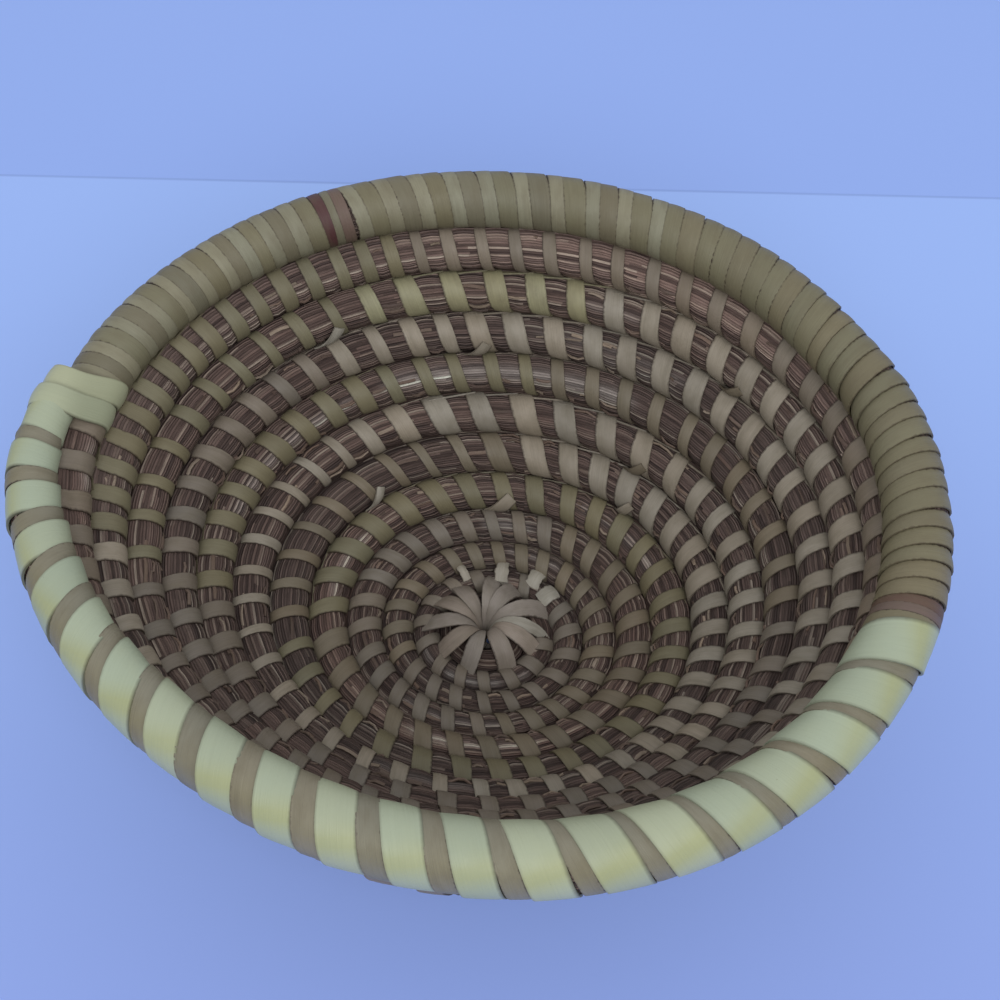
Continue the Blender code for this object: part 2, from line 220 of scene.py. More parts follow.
def turn_at(length):
    return np.interp(length, LENGTHS, TURNS)


def read(table, turn):
    return np.stack([np.interp(turn, TURNS, table[:, axis]) for axis in range(3)], -1)


def place(turn, angle, distance):
    """Points at these turns, angles round the bundle and distances from its centre."""
    turn, angle, distance = np.broadcast_arrays(turn, angle, distance)
    offset = np.cos(angle)[..., None] * read(ACROSS, turn) + np.sin(angle)[..., None] * read(INWARD, turn)
    return read(CENTRES, turn) + distance[..., None] * offset


def wander(count, share, smooth=1):
    """A list of even random wobbles round zero, drawn from neighbour to neighbour."""
    values = rng.uniform(-share, share, count + 2 * smooth)
    for _ in range(smooth):
        values = (values[:-2] + 2 * values[1:-1] + values[2:]) / 4 * 1.6
    return values[:count]


def quads(index, closed):
    """Faces of grids of points. The index has the shape grids, rows, columns."""
    if closed:
        index = np.concatenate((index, index[..., :1]), -1)
    corners = (index[:, :-1, :-1], index[:, 1:, :-1], index[:, 1:, 1:], index[:, :-1, 1:])
    return np.stack(corners, -1).reshape(-1, 4)


# Points lower than this are pressed up from the floor.
PRESS_HEIGHT = 0.0006


def add_piece(name, points, faces, uv, tint, material, node, sharp=None):
    """One object from quads. What would reach under the floor is pressed flat on it."""
    points = np.array(points, np.float32)
    heights = points[:, 2]
    points[:, 2] = np.where(heights < PRESS_HEIGHT, (PRESS_HEIGHT + heights) / 2, heights)
    mesh = bpy.data.meshes.new(name)
    mesh.vertices.add(len(points))
    mesh.vertices.foreach_set("co", points.ravel())
    mesh.loops.add(faces.size)
    mesh.loops.foreach_set("vertex_index", faces.astype(np.int32).ravel())
    mesh.polygons.add(len(faces))
    mesh.polygons.foreach_set("loop_start", np.arange(0, faces.size, 4, dtype=np.int32))
    mesh.update(calc_edges=True)
    layer = mesh.uv_layers.new(name="leaf")
    layer.data.foreach_set("uv", np.asarray(uv, np.float32)[faces.ravel()].ravel())
    colours = mesh.attributes.new("tint", "FLOAT_COLOR", "POINT")
    colours.data.foreach_set("color", np.asarray(tint, np.float32).ravel())
    mesh.polygons.foreach_set("use_smooth", np.ones(len(faces), bool))
    mesh.validate()
    made = bpy.data.objects.new(name, mesh)
    bpy.context.scene.collection.objects.link(made)
    made.data.materials.append(material)
    if sharp:
        mesh.set_sharp_from_angle(angle=math.radians(sharp))
    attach(made, "root")
    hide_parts(node)


# Two faces of a strip that meet at more than this many degrees show a sharp edge.
SHARP = 50

# Each strip's grain starts at its own place, up to this many millimetres along the pattern.
GRAIN_RUN = 900


class Ribbons:
    """Many strips of leaf, each a curved slab, gathered into one piece."""

    def __init__(self):
        self.points, self.faces, self.uv, self.tint, self.count = [], [], [], [], 0

    def add(self, middle, side, out, width, tint, crown=0.0, thickness=LEAF, tilt=0.0, across=5):
        """One strip along a middle line, with its side and outward directions and its widths."""
        rows = len(middle)
        spread = np.linspace(-1, 1, across)
        shape = crown * (1 - spread ** 2) + tilt * spread
        top = (middle[:, None] + side[:, None] * (spread[:, None] * width[:, None, None] / 2)
               + out[:, None] * shape[:, None])
        low = top - out[:, None] * thickness
        loop = np.concatenate((top, low[:, ::-1]), 1)
        columns = 2 * across
        index = self.count + np.arange(rows * columns).reshape(1, rows, columns)
        self.faces.append(quads(index, True))
        for row in (0, rows - 1):
            ring = index[0, row]
            caps = np.array([(ring[i], ring[i + 1], ring[columns - 2 - i], ring[columns - 1 - i])
                             for i in range(across - 1)])
            self.faces.append(caps if row else caps[:, ::-1])
        run = np.append(0, np.cumsum(np.linalg.norm(np.diff(middle, axis=0), axis=1))) / MM
        along = np.broadcast_to((run + rng.uniform(0, GRAIN_RUN))[:, None], (rows, columns))
        beside = np.broadcast_to(np.concatenate((spread, spread[::-1])), (rows, columns))
        self.uv.append(np.stack((along, beside), -1).reshape(-1, 2))
        colour = np.ones((rows, columns, 4))
        colour[..., :3] = np.broadcast_to(tint, (rows, 3))[:, None]
        self.tint.append(colour.reshape(-1, 4))
        self.points.append(loop.reshape(-1, 3))
        self.count += rows * columns

    def finish(self, name, material, node):
        data = [np.concatenate(part) for part in (self.points, self.faces, self.uv, self.tint)]
        add_piece(name, *data, material, node, sharp=SHARP)


def wound(turns, angles, distances):
    """The middle line, side and outward directions of a strip wound at these turns and angles."""
    middle = place(turns, angles, distances)
    out = unit(middle - read(CENTRES, turns))
    ahead = unit(np.gradient(middle, axis=0))
    side = unit(np.cross(out, ahead))
    return middle, side, np.cross(ahead, side)


def lying(middle):
    """The side and upward directions of a strip whose two edges are level with each other."""
    ahead = unit(np.gradient(middle, axis=0))
    side = unit(np.cross((0, 0, 1), ahead))
    return side, np.cross(ahead, side)


class Nodes:
    """A short way to write shader nodes."""

    def __init__(self, name):
        self.material = bpy.data.materials.new(name)
        self.material.use_nodes = True
        self.tree = self.material.node_tree
        self.shader = self.tree.nodes["Principled BSDF"]

    def add(self, kind, inputs=(), **settings):
        node = self.tree.nodes.new(kind)
        for key, value in settings.items():
            setattr(node, key, value)
        for socket, value in dict(inputs).items():
            self.set(node.inputs[socket], value)
        return node

    def set(self, socket, value):
        if isinstance(value, bpy.types.NodeSocket):
            self.tree.links.new(value, socket)
        else:
            socket.default_value = value

    def surface(self, **values):
        """Values or sockets for the shader's inputs. A name's underscores stand for spaces."""
        for name, value in values.items():
            self.set(self.shader.inputs[name.replace("_", " ")], value)

    def math(self, operation, first, second=0.0):
        node = self.add("ShaderNodeMath", operation=operation)
        for socket, value in zip(node.inputs, (first, second)):
            self.set(socket, value)
        return node.outputs[0]

    def times(self, first, second):
        return self.math("MULTIPLY", first, second)

    def plus(self, first, second):
        return self.math("ADD", first, second)

    def vector(self, x, y, z=0.0):
        return self.add("ShaderNodeCombineXYZ", {"X": x, "Y": y, "Z": z}).outputs[0]

    def noise(self, vector, scale, detail):
        return self.add("ShaderNodeTexNoise", {
            "Vector": vector, "Scale": scale, "Detail": detail, "Roughness": 0.55}).outputs[0]

    def blend(self, share, first, second, kind="MIX"):
        node = self.add("ShaderNodeMix", data_type="RGBA", blend_type=kind)
        for socket, value in zip((node.inputs[0], node.inputs[6], node.inputs[7]), (share, first, second)):
            self.set(socket, value)
        return node.outputs[2]

    def shaded(self, colour, shade):
        """The colour, darker or lighter by the share in this socket."""
        grey = self.add("ShaderNodeCombineColor", {"Red": shade, "Green": shade, "Blue": shade}).outputs[0]
        return self.blend(1.0, colour, grey, "MULTIPLY")

    def spread(self, value, low, high, to_low=0.0, to_high=1.0):
        node = self.add("ShaderNodeMapRange", {
            "Value": value, "From Min": low, "From Max": high, "To Min": to_low, "To Max": to_high})
        return node.outputs[0]

    def ramp(self, value, stops):
        node = self.add("ShaderNodeValToRGB", {"Fac": value})
        elements = node.color_ramp.elements
        while len(elements) < len(stops):
            elements.new(0.5)
        for element, (position, colour) in zip(elements, stops):
            element.position = position
            element.color = (*colour, 1)
        return node.outputs[0]

    def uv(self):
        """Millimetres along a strip or the bundle, and the place beside: -1 to 1 on a strip, or the ridge."""
        layer = self.add("ShaderNodeUVMap", uv_map="leaf")
        split = self.add("ShaderNodeSeparateXYZ", {"Vector": layer.outputs[0]})
        return split.outputs[0], split.outputs[1]

    def tint(self):
        return self.add("ShaderNodeAttribute", attribute_name="tint").outputs["Color"]

    def bump(self, height, distance, strength):
        return self.add("ShaderNodeBump", {
            "Height": height, "Distance": distance, "Strength": strength}).outputs[0]


STAIN = (0.13, 0.11, 0.07, 1)
FRESH_STAIN = (0.37, 0.395, 0.25, 1)
SPECK = (0.09, 0.06, 0.04, 1)
# Painted shade along a strip's edges: dark at the near edge, half as strong at the far edge.
EDGE_SHADE = (0.035, 0.022, 0.016, 1)
FAR_EDGE_SHADE = (0.05, 0.034, 0.025, 1)


def leaf_material(name, stain, stain_share, roughness, streaks, edge_shade, rag):
    """Split leaf: fibres along the strip, blotches, specks, and painted shade along its edges, heavier on one
    side.
    """
    nodes = Nodes(name)
    along, beside = nodes.uv()
    fine = nodes.noise(nodes.vector(nodes.times(along, 0.035), nodes.times(beside, 6.0)), 1.6, 4)
    blotch = nodes.noise(nodes.vector(nodes.times(along, 0.16), nodes.times(beside, 0.8)), 1.0, 3)
    specks = nodes.noise(nodes.vector(along, nodes.times(beside, 3.0)), 1.7, 2)
    torn = nodes.noise(nodes.vector(nodes.times(along, 0.8), 0.0), 1.0, 3)
    colour = nodes.blend(nodes.spread(blotch, 0.42, 0.75, 0, stain_share), nodes.tint(), stain)
    colour = nodes.shaded(colour, nodes.spread(fine, 0.3, 0.7, 1 - streaks, 1 + 0.7 * streaks))
    colour = nodes.blend(nodes.spread(specks, 0.72, 0.8, 0, 0.35), colour, SPECK)
    ragged = nodes.spread(torn, 0.3, 0.7, -rag, rag)
    near_edge = nodes.plus(nodes.times(beside, -1.0), ragged)
    far_edge = nodes.plus(beside, ragged)
    # Painted shade: a ragged dark line along each edge, where strips overlap each other or press into the
    # grass.
    colour = nodes.blend(nodes.spread(near_edge, 0.80, 0.98, 0, edge_shade), colour, EDGE_SHADE)
    colour = nodes.blend(nodes.spread(far_edge, 0.88, 1.0, 0, 0.5 * edge_shade), colour, FAR_EDGE_SHADE)
    nodes.surface(Base_Color=colour, Specular_IOR_Level=0.35,
                  Roughness=nodes.spread(blotch, 0.3, 0.7, roughness - 0.06, roughness + 0.10),
                  Normal=nodes.bump(nodes.plus(fine, nodes.times(blotch, 0.7)), 0.0002, 0.6))
    return nodes.material


# The stems' colours and how many of them are darker, from 0 to 1, and the painted shade in the crevice between
# two stems.
STEM_COLOURS = ((0.0, (0.050, 0.033, 0.030)), (0.28, (0.084, 0.057, 0.050)), (0.55, (0.124, 0.085, 0.075)),
                (0.76, (0.154, 0.105, 0.091)), (0.90, (0.200, 0.147, 0.124)), (0.98, (0.300, 0.245, 0.205)))
STEM_GAP_SHADE = (0.018, 0.012, 0.010, 1)


def grass_material():
    """Thin stems side by side, each with its own colour, changing every few centimetres, with painted shade
    between them.
    """
    nodes = Nodes("sweetgrass")
    along, coarse = nodes.uv()
    strand = nodes.times(coarse, FINE_STRANDS)
    number = nodes.math("FLOOR", strand)
    offset = nodes.add("ShaderNodeTexWhiteNoise", {"W": number}, noise_dimensions="1D").outputs[0]
    stem = nodes.math("FLOOR", nodes.plus(nodes.times(along, 0.022), nodes.times(offset, 9.0)))
    pick = nodes.add("ShaderNodeTexWhiteNoise", {"Vector": nodes.vector(number, stem, 0.5)}).outputs[0]
    fibre = nodes.noise(nodes.vector(nodes.times(along, 0.05), nodes.times(strand, 3.0)), 1.5, 4)
    mottle = nodes.noise(nodes.vector(nodes.times(along, 0.3), strand), 0.9, 3)
    shade = nodes.times(nodes.spread(fibre, 0.3, 0.7, 0.65, 1.3), nodes.spread(mottle, 0.3, 0.7, 0.8, 1.2))
    colour = nodes.shaded(nodes.ramp(pick, STEM_COLOURS), shade)
    colour = nodes.blend(1.0, colour, nodes.tint(), "MULTIPLY")
    # Painted shade: each stem darkens towards its edges, where the crevice between two stems lies in shade.
    inside = nodes.math("ABSOLUTE", nodes.math("SUBTRACT", nodes.math("FRACT", strand), 0.5))
    colour = nodes.blend(nodes.spread(inside, 0.36, 0.5, 0, 0.75), colour, STEM_GAP_SHADE)
    height = nodes.math("SUBTRACT", nodes.times(fibre, 0.5), nodes.times(inside, 1.6))
    nodes.surface(Base_Color=colour, Roughness=0.62, Specular_IOR_Level=0.3,
                  Normal=nodes.bump(height, 0.0004, 0.8))
    return nodes.material


GRASS = grass_material()
LEAF_DRY = leaf_material("leaf_dry", STAIN, 0.40, 0.50, streaks=0.10, edge_shade=0.80, rag=0.08)
LEAF_WRAP = leaf_material("leaf_wrap", STAIN, 0.40, 0.50, streaks=0.08, edge_shade=0.95, rag=0.12)
LEAF_FRESH = leaf_material("leaf_fresh", FRESH_STAIN, 0.14, 0.42, streaks=0.025, edge_shade=0.65, rag=0.015)

# Colours of the sewing strips.
TAN = (0.182, 0.152, 0.110)
OLIVE = (0.176, 0.158, 0.100)
GREY = (0.186, 0.160, 0.132)
CREAM = (0.284, 0.250, 0.202)
STRAW = (0.305, 0.285, 0.175)
UNDER_RIM = (0.210, 0.175, 0.138)

# Colours of the petals and of torn ends.
ROSETTE = (0.290, 0.250, 0.216)
WHITE = (0.350, 0.325, 0.275)

# Colours of the rim.
RED = (0.075, 0.032, 0.034)
BROWN = (0.103, 0.062, 0.046)
WRAP_CREAM = (0.225, 0.215, 0.152)
WRAP_OLIVE = (0.170, 0.157, 0.100)
WRAP_GREY = (0.160, 0.146, 0.100)
WRAP_TAN = (0.168, 0.150, 0.096)
WRAP_RED = (0.142, 0.098, 0.082)
PALE = (0.340, 0.387, 0.288)
YELLOW_GREEN = (0.332, 0.348, 0.162)
FRONT_TAN = (0.205, 0.192, 0.145)
FRONT_BAND = (0.185, 0.165, 0.092)
BINDING = (0.366, 0.392, 0.272)

# Colours of single stems that lie loose on the bundle.
LIGHT_STEM = (0.27, 0.21, 0.165)
BROWN_STEM = (0.17, 0.118, 0.095)
DARK_STEM = (0.105, 0.07, 0.06)


def varied(colour, share):
    """The colour, a little lighter or darker and warmer or cooler."""
    light = 1 + rng.uniform(-share, share)
    warm = rng.uniform(-0.03, 0.03)
    return np.clip(np.array(colour) * light * (1 + warm, 1, 1 - warm), 0, 1)


def sewn(turn, column):
    """One column of the SEWN table at these turns, in metres."""
    return np.interp(turn, SEWN[:, 0], SEWN[:, column]) * MM


def stitch_places():
    """Lengths along the bundle where it is sewn, from the rosette to the binding, a little uneven."""
    places = []
    length = length_at(SEWN[0, 0])
    while length < length_at(SEWN_END):
        places.append(length)
        uneven = 1 + rng.uniform(-SPACING_UNEVEN, SPACING_UNEVEN)
        length += sewn(turn_at(length), SPACING_COLUMN) * uneven
    return np.array(places)


STITCHES = stitch_places()


def rim_side(turns, angle):
    """The bundle's extra radius on the side of the rim."""
    return at(RIM_REACH, turns) * MM * np.clip(np.cos(angle) * 4 - 3, 0, 1)


def groove_share(angle):
    """1 in the grooves between two rounds, 0 well away from them."""
    return 1 - ramp((np.abs(np.sin(angle)) - 0.22) / 0.22)


def strip_run(angle, turn):
    """How far along the bundle a strip lies at this angle from its middle on the inside of the bowl."""
    turned = np.mod(angle, 2 * math.pi) / math.pi
    shift, spacing = sewn(turn, SHIFT_COLUMN), sewn(turn, SPACING_COLUMN)
    return np.where(turned < 1, (turned - 0.5) * shift, shift / 2 + (turned - 1) * (spacing - shift))


# The grass is pressed in up to this far beyond a strip's edge, and swells again over this length. It starts to
# be pressed this far before the first strip.
PRESS_BEYOND = 0.0002
PRESS_FADE = 0.0016
PRESS_BEFORE = 0.004


def pressed(turn, length, angle):
    """How far the grass is pressed in: 1 under a strip, 0 between two and in the grooves."""
    length = length - strip_run(angle, turn)
    nearest = np.searchsorted(STITCHES, length)
    before = STITCHES[np.clip(nearest - 1, 0, len(STITCHES) - 1)]
    after = STITCHES[np.clip(nearest, 0, len(STITCHES) - 1)]
    beyond = np.minimum(np.abs(length - before), np.abs(after - length)) - sewn(turn, WIDTH_COLUMN) / 2
    under = 1 - ramp((beyond - PRESS_BEYOND) / PRESS_FADE)
    rim = ramp((turn - RIM_TURN - 0.04) / 0.02)
    return np.maximum(np.where(STITCHES[0] - PRESS_BEFORE < length, under, 0) * (1 - groove_share(angle)), rim)


# Pale stems: first and last turn, angle round the bundle and half-width in degrees, gain in brightness.
LIGHT_STEMS = (
    (1.42, 1.60, 66, 16, 2.2), (1.33, 1.42, 62, 16, 1.6), (1.62, 1.70, 60, 15, 1.4), (2.98, 3.10, 80, 14, 1.2),
    (3.94, 4.03, 95, 16, 1.5), (3.42, 3.60, 70, 15, 1.2), (4.40, 4.56, 75, 15, 0.9), (4.72, 4.82, 85, 14, 0.9),
    (5.05, 5.18, 85, 14, 0.9), (6.46, 6.56, 70, 14, 0.9), (7.74, 7.88, 88, 13, 1.3), (7.88, 8.07, 80, 20, 1.8),
    (8.98, 9.10, 75, 12, 0.7), (9.02, 9.09, 110, 10, 0.8), (10.0, 10.06, 80, 13, 0.8),
    (11.70, 11.74, 90, 20, 1.2),
)

# Brightness of the grass at some turns: painted light, which makes the round under the rim lighter at the
# back.
GRASS_PAINTED_LIGHT = ((10.70, 1.0), (10.85, 1.3), (11.00, 1.7), (11.15, 1.6), (11.25, 1.1), (11.60, 1.0))


def light_stems(turns, angles):
    """Extra brightness where pale stems lie side by side on top of the bundle."""
    extra = np.zeros(np.broadcast(turns, angles).shape)
    for first, last, angle, width, gain in LIGHT_STEMS:
        along = ramp((turns - first) / 0.02) * ramp((last - turns) / 0.02)
        turned = (np.mod(angles, 2 * math.pi) - math.radians(angle)) / math.radians(width)
        extra = np.maximum(extra, gain * along * np.exp(-turned ** 2))
    return extra


# Between strips the grass lies this far below the strips' outside, and in the grooves it fills out by this
# much. Slow lumps run along the bundle.
GRASS_BELOW = 0.00008
GROOVE_FILL = 0.00020
LUMP = 0.00012

# The stems wind a little, by ridges and every so many turns, and their warmth changes likewise, by a share.
DRIFT_STEPS = np.arange(0, 14, 0.11)
DRIFT = 1.1
WARM_STEPS = np.arange(0, 14, 0.13)
WARM_SHARE = 0.20

# How red, green and blue follow the warmth and the pale stems.
WARM_WEIGHTS = np.array((1.0, 0.8, 0.7))
LIGHT_WEIGHTS = np.array((1.0, 1.4, 1.5))


def add_grass(name, first, last, step):
    """A stretch of the bundle: a tube of stems that swells between the strips."""
    begin, end = length_at(first), length_at(last)
    lengths = np.linspace(begin, end, round((end - begin) / step))
    turns = turn_at(lengths)[:, None]
    columns = STRANDS * 2 + 1
    strand = np.linspace(0, STRANDS, columns)[None]
    drift = np.interp(turns, DRIFT_STEPS, wander(len(DRIFT_STEPS), DRIFT, 2))
    angle = math.pi + 2 * math.pi * (strand - drift) / STRANDS
    ridge = np.abs(np.sin(math.pi * strand))
    fill = LEAF - GRASS_BELOW + GROOVE_FILL * groove_share(angle)
    swell = fill * (1 - pressed(turns, lengths[:, None], angle))
    lump = LUMP * np.sin(strand * 0.7 + 9 * turns) * np.sin(31 * turns + strand)
    distance = grass_radius(turns) + swell + lump + rim_side(turns, angle) - GRASS_RELIEF * (1 - ridge)
    points = place(turns, angle, distance).reshape(-1, 3)
    index = np.arange(len(points)).reshape(1, len(turns), columns)
    uv = np.stack(np.broadcast_arrays(lengths[:, None] / MM, strand + 40), -1).reshape(-1, 2)
    warm = np.interp(turns[:, 0], WARM_STEPS, wander(len(WARM_STEPS), WARM_SHARE))[:, None, None]
    # Painted light: the round under the rim is made lighter at the back.
    tone = at(GRASS_PAINTED_LIGHT, turns[:, 0])[:, None, None]
    light = light_stems(turns, angle)[..., None]
    tint = np.ones((len(turns), columns, 4))
    tint[..., :3] = tone * (1 + warm * WARM_WEIGHTS) * (1 + light * LIGHT_WEIGHTS)
    add_piece(name, points, quads(index, False), uv, tint, GRASS, "grass_coil")


LOOSE_STEMS = 520


def add_loose_straws():
    """Single stems that lie on the bundle between the strips, most of them dark, some light."""
    ribbons = Ribbons()
    rows = 7
    for _ in range(LOOSE_STEMS):
        start = rng.uniform(length_at(1.9), length_at(RIM_TURN))
        turns = turn_at(start + np.linspace(0, rng.uniform(0.004, 0.016), rows))
        inside = rng.random() < 0.75
        angle = math.pi * (rng.uniform(0.15, 0.85) if inside else rng.uniform(1.1, 1.9))
        angles = angle + np.linspace(0, rng.uniform(-0.2, 0.2), rows)
        bow = np.sin(np.linspace(0, math.pi, rows)) * 0.0003
        free = 1 - pressed(turns, length_at(turns), angles)
        lift = (LEAF + SEAT + 0.00008 + bow) * free - 0.00025 * (1 - free)
        middle, side, out = wound(turns, angles, grass_radius(turns) + lift)
        pick = rng.random()
        colour = LIGHT_STEM if pick < 0.2 else BROWN_STEM if pick < 0.65 else DARK_STEM
        width = np.full(rows, rng.uniform(0.0005, 0.0010))
        ribbons.add(middle, side, out, width, varied(colour, 0.2), 0.0002, thickness=0.0003, across=3)
    ribbons.finish("loose_straws", LEAF_DRY, "grass_coil")


# The sewing strips from the rosette to the rim: colour, length in turns, node.
SEWING = (
    (GREY, 0.90, "strip_01_grey"), (TAN, 0.80, "strip_02_tan"), (GREY, 0.60, "strip_03_grey"),
    (TAN, 0.65, "strip_04_tan"), (OLIVE, 1.00, "strip_05_olive"), (TAN, 0.30, "strip_06_tan"),
    (CREAM, 0.86, "strip_07_cream"), (CREAM, 0.50, "strip_08_cream"), (GREY, 0.34, "strip_09_grey"),
    (OLIVE, 0.30, "strip_10_olive"), (TAN, 0.25, "strip_11_tan"), (GREY, 0.60, "strip_12_grey"),
    (CREAM, 0.45, "strip_13_cream"), (GREY, 0.40, "strip_14_grey"), (OLIVE, 0.19, "strip_15_olive"),
    (STRAW, 0.13, "strip_16_straw"), (CREAM, 0.68, "strip_17_cream"), (OLIVE, 0.35, "strip_18_olive"),
    (UNDER_RIM, 0.22, "strip_19_tan"), (UNDER_RIM, 0.42, "strip_20_grey"),
)

# From this turn on the stitches show the colour of the strips under the rim.
UNDER_RIM_FROM = 10.92

# A stitch's points along its middle line, and the degrees round the bundle that it covers inside and outside.
STITCH_ROWS = 17
STITCH_SPANS = ((-4, 184), (176, 364))
STITCH_DIP = 0.0035


def crossing(length, low, high):
    """Turns, angles and distances of a strip that crosses one side of the bundle and dips into its grooves."""
    angles = np.radians(np.linspace(low, high, STITCH_ROWS))
    turn = turn_at(length)
    inner = np.clip(angles, math.radians(low + 4), math.radians(high - 4))
    where = turn_at(length + strip_run(inner, turn))
    reach = rim_side(where, angles)
    dip = np.where(reach > 0.0002, 0, np.clip(0.20 - np.abs(np.sin(angles)), 0, 1) * STITCH_DIP)
    return where, angles, grass_radius(where) + LEAF + 0.00003 + reach - dip


def add_stitches():
    """Each strip shows once on the bowl's inside and once on its outside between two grooves."""
    turn = FIRST_TURNS
    pinch = 0.86 + 0.14 * np.sin(np.radians(np.linspace(0, 180, STITCH_ROWS))) ** 0.7
    for number, (colour, turns, node) in enumerate(SEWING):
        first = turn if number else 0
        turn += turns
        last = LAST_TURN if number == len(SEWING) - 1 else turn
        ribbons = Ribbons()
        for length in STITCHES[(STITCHES >= length_at(first)) & (STITCHES < length_at(last))]:
            tone = varied(UNDER_RIM if UNDER_RIM_FROM < turn_at(length) else colour, 0.09)
            for low, high in STITCH_SPANS:
                middle, side, out = wound(*crossing(length, low, high))
                uneven = 1 + np.interp(np.arange(STITCH_ROWS), (0, 4, 8, 12, 16), rng.uniform(-0.07, 0.07, 5))
                width = sewn(turn_at(length), WIDTH_COLUMN) * rng.uniform(0.90, 1.08) * pinch * uneven
                ribbons.add(middle, side, out, width, tone, 0.00016, tilt=rng.uniform(0, 0.00014))
        ribbons.finish(node.replace("strip", "stitches"), LEAF_DRY, node)


# Frayed ends: turn, millimetres along the bundle, width in millimetres, colour.
FRAYED_ENDS = (
    (9.862, 6.0, 5.2, WHITE), (8.948, 5.0, 4.6, CREAM), (7.078, 5.0, 4.0, TAN), (5.838, 5.0, 4.0, WHITE),
    (4.962, 6.0, 5.4, CREAM), (10.104, 6.0, 4.0, TAN), (6.090, 4.0, 3.6, CREAM),
)


def add_frayed_ends():
    """Short ends of used-up strips that stick out of the grooves, each with a bent, torn tip."""
    ribbons = Ribbons()
    shares = np.linspace(0, 1, 9)
    lift = 0.0004 + 0.0006 * np.sin(shares * math.pi)
    angles = np.radians(172 - 62 * shares)
    for turn, run, width, colour in FRAYED_ENDS:
        turns = turn_at(length_at(turn) + shares * run * MM)
        middle, side, out = wound(turns, angles, grass_radius(turns) + LEAF + lift)
        widths = width * MM * (1 - 0.35 * shares)
        ribbons.add(middle, side, out, widths, varied(colour, 0.1), 0.0004, tilt=0.0003)
    ribbons.finish("frayed_ends", LEAF_DRY, "grass_coil")


def wrap_places(first, last, pitch, rhythm, uneven):
    """Lengths where the rounds of a wrapping strip start, and their spacing.

    They run from the first to the last turn, about a pitch in millimetres apart, wider and narrower in turn.
    """
    begin, end = length_at(first), length_at(last)
    count = round((end - begin) / (pitch * MM))
    widths = np.array([rhythm[i % len(rhythm)] for i in range(count)])
    spacing = widths * (1 + rng.uniform(-uneven, uneven, count))
    spacing *= (end - begin) / spacing.sum()
    return begin + np.append(0, np.cumsum(spacing[:-1])), spacing


# A band of other colour along a wrap: its colour, middle and reach in degrees, and least and greatest share.
# Painted shade: the close wraps darken towards the groove with the round before, more on some wraps than on
# others.
GROOVE_SHADE_BAND = ((0.100, 0.082, 0.045), 160, 30, 0.2, 0.8)
PALE_BAND = (YELLOW_GREEN, 324, 22, 0.6, 0.8)
TAN_BAND = (FRONT_BAND, 324, 26, 0.4, 0.8)

# A wrap's points along its middle line, the angle where each round of it starts, and how much wider than its
# share it is, so that no grass shows.
WRAP_ROWS = 29
WRAP_START = 215
WRAP_OVERLAP = 1.01


def banded(tone, band, angles):
    """The tone at these angles round the rim, with the band blended in."""
    colour, centre, reach, least, most = band
    away = (np.mod(np.degrees(angles) - centre + 180, 360) - 180) / reach
    share = rng.uniform(least, most) * np.exp(-away ** 2)[:, None]
    return tone * (1 - share) + np.array(colour) * share


def wrap_run(name, node, rounds, low, high, tones, material, slant, tilt, crown, lift=0.0, band=GROOVE_SHADE_BAND):
    """A strip wound round the rim, which covers each round's spacing from the low to the high share.

    Slant, tilt and crown are millimetres: how far a round leans along the rim, how far its edge stands up and
    how far it bulges.
    """
    places, spacing = rounds
    count = len(places)
    rows = np.linspace(0, 1, WRAP_ROWS)
    angles = np.radians(WRAP_START) + rows * 2 * math.pi
    ribbons = Ribbons()
    for i in range(count):
        turn = turn_at(places[i])
        start, stop = at(low, turn), at(high, turn)
        behind, ahead = spacing[max(i - 1, 0)], spacing[min(i + 1, count - 1)]
        ends = ((behind + spacing[i]) / 2, spacing[i], (ahead + spacing[i]) / 2)
        local = np.interp(rows, (0, 0.5, 1), ends)
        edge = places[i] + (rows - 0.5) * spacing[i] + at(slant, turn) * MM * np.sin(angles)
        turns = turn_at(np.minimum(edge + local * (start + stop) / 2, LENGTHS[-1]))
        thick = LEAF + lift + rng.uniform(0, 0.00010)
        middle, side, out = wound(turns, angles, grass_radius(turns) + SEAT + thick)
        tone = banded(varied(tones[i % len(tones)], 0.06), band, angles)
        ribbons.add(middle, side, out, WRAP_OVERLAP * (stop - start) * local, tone, crown * MM,
                    thickness=LEAF + lift, tilt=at(tilt, turn) * MM * rng.uniform(0.2, 1.0))
    ribbons.finish(name, material, node)


# The close wraps' runs: name, first turn, pitch in millimetres, rhythm of widths, unevenness, colours, and
# slant, tilt and crown in millimetres.
CLOSE_WRAPS = (
    ("left", 11.757, 3.6, (0.9, 1.1, 1.0, 1.15), 0.15, (WRAP_CREAM, WRAP_GREY, WRAP_CREAM, WRAP_OLIVE),
     0.0, 0.16, 0.20),
    ("mark", 11.880, 2.6, (1.0, 0.7, 1.1), 0.10, (RED, WRAP_GREY, WRAP_RED), 0.2, 0.16, 0.12),
    ("back", 11.894, 4.3, (0.82, 1.18), 0.12, (WRAP_CREAM, WRAP_OLIVE, WRAP_CREAM, WRAP_GREY),
     1.2, 0.12, 0.12),
    ("right", 12.045, 4.7, (0.95, 1.1, 0.9, 1.05), 0.15, (WRAP_OLIVE, WRAP_TAN, WRAP_OLIVE),
     1.0, ((12.05, 0.16), (12.12, 0.24), (12.17, 0.45)), 0.22),
    ("brown", 12.250, 3.4, (1.2, 1.2, 0.6, 0.7, 0.9), 0.05, (WRAP_TAN, WRAP_TAN, BROWN, WRAP_RED, WRAP_TAN),
     1.0, ((12.25, 0.30), (12.27, 0.04)), 0.12),
)

